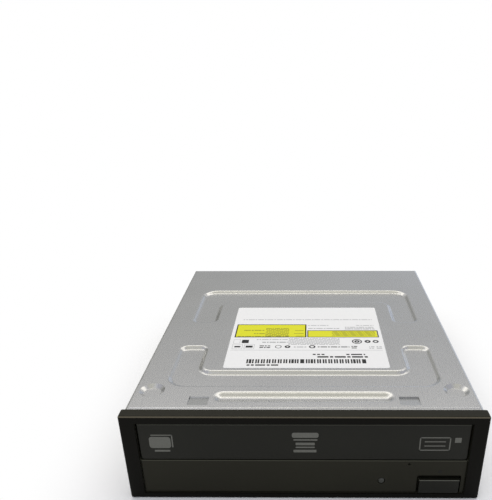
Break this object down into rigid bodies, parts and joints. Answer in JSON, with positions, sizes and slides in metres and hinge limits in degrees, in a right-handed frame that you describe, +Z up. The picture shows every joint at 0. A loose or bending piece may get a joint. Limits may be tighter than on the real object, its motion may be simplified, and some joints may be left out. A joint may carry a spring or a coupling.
{
  "type": "internal dvd writer",
  "caption": "Half-height internal optical disc drive with a pressed steel body, black front, motor-driven disc tray, rising pickup cradle and sliding laser unit.",
  "frame": {"origin": "centre of the drive's overall outline, at the height of the bezel's bottom edge", "axes": "+X to the right seen from the front, +Y from the front to the rear, +Z up"},
  "size_m": [0.1482, 0.17, 0.042],
  "materials": {
    "zinc_steel": "satin galvanised sheet",
    "bright_steel": "bright plated",
    "black_abs": "fine moulded texture",
    "button_abs": "fine moulded texture",
    "dark_moulding": "moulded, glass filled",
    "tray_moulding": "moulded, matt",
    "white_acetal": "moulded, low friction",
    "paper_label": "printed paper",
    "lens_glass": "clear",
    "led_epoxy": "clear tinted",
    "ferrite": "sintered",
    "damper_rubber": "soft",
    "copper_core": "wound copper",
    "motor_can": "plated can",
    "die_cast": "die cast",
    "belt_rubber": "smooth",
    "circuit_board": "solder mask",
    "chip_epoxy": "moulded epoxy",
    "capacitor_can": "sleeved can",
    "cable_film": "polyester film",
    "board_film": "insulating film",
    "thermal_gel": "soft pad"
  },
  "bodies": {
    "chassis": {"top_cover": "zinc_steel", "bottom_cover": "zinc_steel", "label": "paper_label", "front_bezel": "black_abs", "led_lens": "led_epoxy", "main_frame": "dark_moulding", "clamp_bridge": "zinc_steel", "loading_motor": "motor_can", "drive_belt": "belt_rubber", "main_pcb": "circuit_board", "main_chips": "chip_epoxy", "capacitors": "capacitor_can", "flat_cable_sockets": "white_acetal", "sata_connector": "chip_epoxy", "front_pcb": "circuit_board", "eject_switch": "chip_epoxy", "led": "led_epoxy", "front_flat_cable": "cable_film", "cover_screws": "bright_steel", "bridge_screws": "bright_steel", "pcb_screws": "bright_steel", "motor_screws": "bright_steel", "insulation_sheet": "board_film", "thermal_pad": "thermal_gel"},
    "disc_tray": {"tray": "tray_moulding", "tray_door": "black_abs"},
    "button": {"eject_button": "button_abs"},
    "stem": {"switch_stem": "white_acetal"},
    "clamp_puck": {"clamper": "white_acetal", "clamp_magnet": "ferrite", "clamp_yoke": "bright_steel"},
    "slider": {"cam_slider": "white_acetal"},
    "cradle": {"traverse_frame": "dark_moulding", "traverse_plate": "bright_steel", "dampers": "damper_rubber", "damper_screws": "bright_steel", "spindle_stator": "copper_core", "guide_rod_left": "bright_steel", "guide_rod_right": "bright_steel", "feed_motor": "motor_can"},
    "spindle": {"spindle_rotor": "bright_steel", "turntable": "dark_moulding", "turntable_pad": "damper_rubber"},
    "pickup": {"optical_sled": "die_cast", "actuator_cover": "bright_steel", "rack_follower": "white_acetal"},
    "lens_unit": {"lens_holder": "chip_epoxy", "objective_lens": "lens_glass"},
    "screw_shaft": {"lead_screw": "bright_steel"},
    "gear": {"drive_gear": "white_acetal"},
    "pulley": {"pulley_gear": "white_acetal"},
    "motor_shaft": {"motor_pulley": "white_acetal"}
  },
  "joints": [
    {"name": "tray_slide", "type": "slide", "parent": "chassis", "child": "disc_tray", "axis": [0, -1, 0], "range_m": [0, 0.138]},
    {"name": "eject_button_press", "type": "slide", "parent": "chassis", "child": "button", "axis": [0, 1, 0], "range_m": [0, 0.0005], "stiffness_N_per_m": 400, "springref_m": -0.0005},
    {"name": "switch_stem_press", "type": "slide", "parent": "chassis", "child": "stem", "axis": [0, 1, 0], "range_m": [0, 0.0005]},
    {"name": "cam_slide", "type": "slide", "parent": "chassis", "child": "slider", "axis": [1, 0, 0], "range_m": [0, 0.018]},
    {"name": "cradle_tilt", "type": "hinge", "parent": "chassis", "child": "cradle", "pos_m": [0, 0.066, 0.015], "axis": [-1, 0, 0], "range_deg": [0, 5.31]},
    {"name": "spindle_spin", "type": "hinge", "parent": "cradle", "child": "spindle", "pos_m": [0, -0.01479, 0.01975], "axis": [0, -0.0925, 0.9957], "continuous": true},
    {"name": "pickup_slide", "type": "slide", "parent": "cradle", "child": "pickup", "axis": [0, 0.9957, 0.0925], "range_m": [0, 0.036]},
    {"name": "lens_focus", "type": "slide", "parent": "pickup", "child": "lens_unit", "axis": [0, -0.0925, 0.9957], "range_m": [-0.0005, 0.0005], "stiffness_N_per_m": 60},
    {"name": "lead_screw_spin", "type": "hinge", "parent": "cradle", "child": "screw_shaft", "pos_m": [0.031, -0.01396, 0.01089], "axis": [0, 0.9957, 0.0925], "continuous": true},
    {"name": "clamper_spin", "type": "hinge", "parent": "chassis", "child": "clamp_puck", "pos_m": [0, -0.014, 0.0294], "axis": [0, 0, 1], "continuous": true},
    {"name": "drive_gear_spin", "type": "hinge", "parent": "chassis", "child": "gear", "pos_m": [-0.044, -0.065, 0.012], "axis": [0, 0, 1], "continuous": true},
    {"name": "pulley_gear_spin", "type": "hinge", "parent": "chassis", "child": "pulley", "pos_m": [-0.0272, -0.065, 0.012], "axis": [0, 0, 1], "continuous": true},
    {"name": "motor_pulley_spin", "type": "hinge", "parent": "chassis", "child": "motor_shaft", "pos_m": [0.0138, -0.063, 0.012], "axis": [0, 0, 1], "continuous": true}
  ],
  "couplings": [
    {"joint": "switch_stem_press", "follows": "eject_button_press", "ratio": 1},
    {"joint": "cradle_tilt", "follows": "cam_slide", "rad_per_m": 5.1457},
    {"joint": "lead_screw_spin", "follows": "pickup_slide", "rad_per_m": 2094.4},
    {"joint": "drive_gear_spin", "follows": "tray_slide", "rad_per_m": 125},
    {"joint": "pulley_gear_spin", "follows": "tray_slide", "rad_per_m": -312.5},
    {"joint": "motor_pulley_spin", "follows": "tray_slide", "rad_per_m": -920.14}
  ]
}
